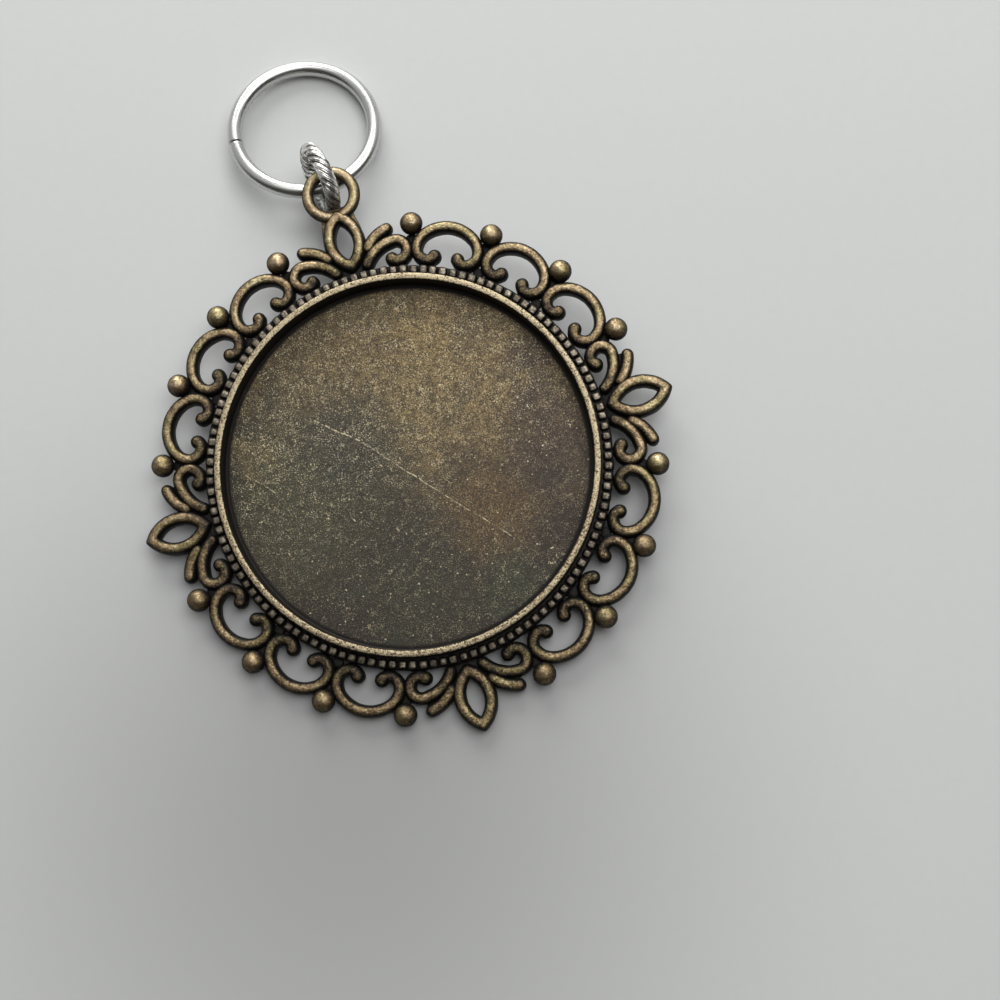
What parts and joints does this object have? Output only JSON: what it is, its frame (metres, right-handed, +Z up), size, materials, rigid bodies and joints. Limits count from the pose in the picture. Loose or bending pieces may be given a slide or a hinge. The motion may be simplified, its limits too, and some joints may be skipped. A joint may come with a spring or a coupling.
{
  "type": "medallion pendant",
  "caption": "Round cast cabochon-setting pendant with pierced scrollwork, ball and bead borders and a bail loop, on a twisted jump ring and a large plain ring.",
  "frame": {"origin": "on the floor, in the middle of the footprint of the three pieces as they lie", "axes": "+Z up from the floor, towards the face of the pendant; +Y from the middle of the casting towards its bail loop and rings; +X to the right when the face is seen with the bail loop at the top"},
  "size_m": [0.0592, 0.0795, 0.0082],
  "materials": {
    "bronze": "antique bronze plating, worn bright on the raised edges, with dark recesses",
    "silver": "antique silver plating, bright on the strands and dark in the grooves",
    "steel": "bright polished"
  },
  "bodies": {
    "root": {"medallion": "bronze", "twisted_ring": "silver", "large_ring": "steel"}
  },
  "joints": []
}
